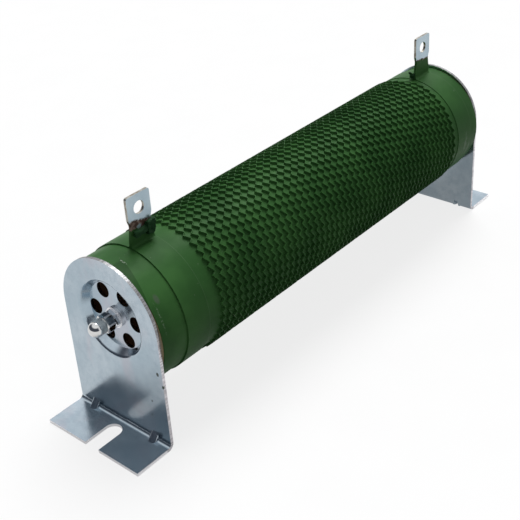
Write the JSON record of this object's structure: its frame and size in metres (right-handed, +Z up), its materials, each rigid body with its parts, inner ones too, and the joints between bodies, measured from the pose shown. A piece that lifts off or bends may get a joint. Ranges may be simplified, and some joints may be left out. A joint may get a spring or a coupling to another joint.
{
  "type": "braking resistor",
  "caption": "Wire-wound braking resistor: green enamelled ceramic tube with corrugated edge-wound ribbon, terminal tabs, and pressed steel end brackets on a through rod.",
  "frame": {"origin": "on the mounting surface, midway between the two feet and on the tube's centre plane", "axes": "+X along the tube, +Z up from the feet towards the terminal tabs, so -Y is the side that the tab plates are offset to"},
  "size_m": [0.3094, 0.0662, 0.1123],
  "materials": {
    "green_enamel": "baked dark green enamel, satin",
    "zinc_plated_strap": "dull zinc plate with stains and green overspray",
    "zinc_plated_sheet": "dull blue-grey zinc plate",
    "zinc_plated_rod": "plated steel",
    "zinc_plated_nuts": "plated steel",
    "nickel_cap": "polished nickel plate",
    "mica": "pressed mica"
  },
  "bodies": {
    "root": {"ceramic_tube": "green_enamel", "resistance_ribbon": "green_enamel", "left_terminal_strap": "zinc_plated_strap", "right_terminal_strap": "zinc_plated_strap", "left_bracket": "zinc_plated_sheet", "right_bracket": "zinc_plated_sheet", "tie_rod": "zinc_plated_rod", "left_mica_ring": "mica", "right_mica_ring": "mica", "left_flat_washer": "zinc_plated_nuts", "right_flat_washer": "zinc_plated_nuts", "left_jam_nut": "zinc_plated_nuts", "right_jam_nut": "zinc_plated_nuts", "left_cap_nut": "nickel_cap", "right_cap_nut": "nickel_cap"}
  },
  "joints": []
}
